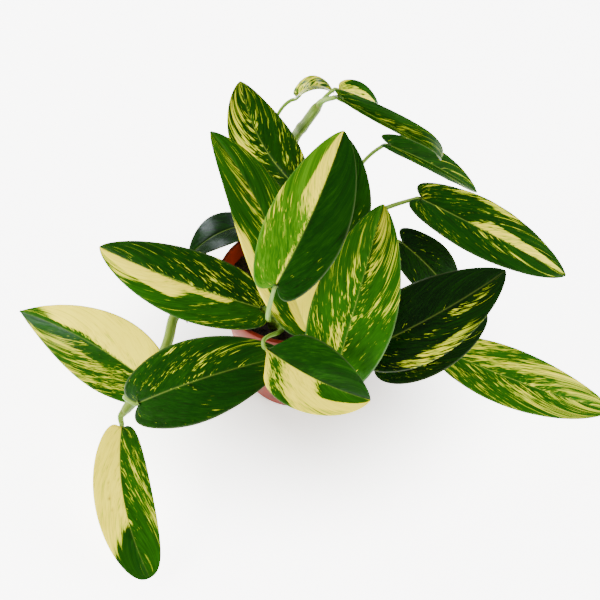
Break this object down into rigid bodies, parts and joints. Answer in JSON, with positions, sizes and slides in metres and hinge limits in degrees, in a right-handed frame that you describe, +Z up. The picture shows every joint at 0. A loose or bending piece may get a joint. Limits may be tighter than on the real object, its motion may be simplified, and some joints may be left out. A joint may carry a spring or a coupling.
{
  "type": "potted live plant",
  "caption": "Potted trailing variegated monstera with lance-shaped leaves on thick stems, growing from soil in a plain plastic nursery pot and reaching out over its rim.",
  "frame": {"origin": "centre of the pot's underside, on the surface it stands on", "axes": "+Z up out of the pot; -Y towards the front, where the hanging leaf reaches out lowest; +X towards the right, the side of the longest reaching leaf"},
  "size_m": [0.4886, 0.343, 0.2504],
  "materials": {
    "terracotta_plastic": "moulded, faintly satin",
    "potting_soil": "loose, crumbly and dull",
    "vine_skin": "smooth living skin, satin",
    "petiole_skin": "smooth living skin, satin",
    "blade_skin": "waxy, glossy upper side"
  },
  "bodies": {
    "root": {"pot": "terracotta_plastic", "soil": "potting_soil", "vine_left": "vine_skin", "vine_top": "vine_skin", "vine_centre": "vine_skin", "vine_front": "vine_skin", "vine_right": "vine_skin", "vine_back": "vine_skin", "leaf_left_far": "blade_skin", "leaf_left_front": "blade_skin", "leaf_left_upper": "blade_skin", "leaf_left_hanging": "blade_skin", "leaf_front_folded": "blade_skin", "leaf_centre_front": "blade_skin", "leaf_centre_tall": "blade_skin", "leaf_front_marbled": "blade_skin", "leaf_back_flecked": "blade_skin", "leaf_back_dark": "blade_skin", "leaf_back_left": "blade_skin", "leaf_top_left": "blade_skin", "leaf_top_middle": "blade_skin", "leaf_top_arched": "blade_skin", "leaf_right_back": "blade_skin", "leaf_right_upper": "blade_skin", "leaf_right_dark": "blade_skin", "leaf_right_inner": "blade_skin", "leaf_right_far": "blade_skin", "leaf_right_under": "blade_skin", "petiole_left_far": "petiole_skin", "petiole_left_front": "petiole_skin", "petiole_left_upper": "petiole_skin", "petiole_left_hanging": "petiole_skin", "petiole_front_folded": "petiole_skin", "petiole_centre_front": "petiole_skin", "petiole_centre_tall": "petiole_skin", "petiole_front_marbled": "petiole_skin", "petiole_back_flecked": "petiole_skin", "petiole_back_dark": "petiole_skin", "petiole_back_left": "petiole_skin", "petiole_top_left": "petiole_skin", "petiole_top_middle": "petiole_skin", "petiole_top_arched": "petiole_skin", "petiole_right_back": "petiole_skin", "petiole_right_upper": "petiole_skin", "petiole_right_dark": "petiole_skin", "petiole_right_inner": "petiole_skin", "petiole_right_far": "petiole_skin", "petiole_right_under": "petiole_skin"}
  },
  "joints": []
}
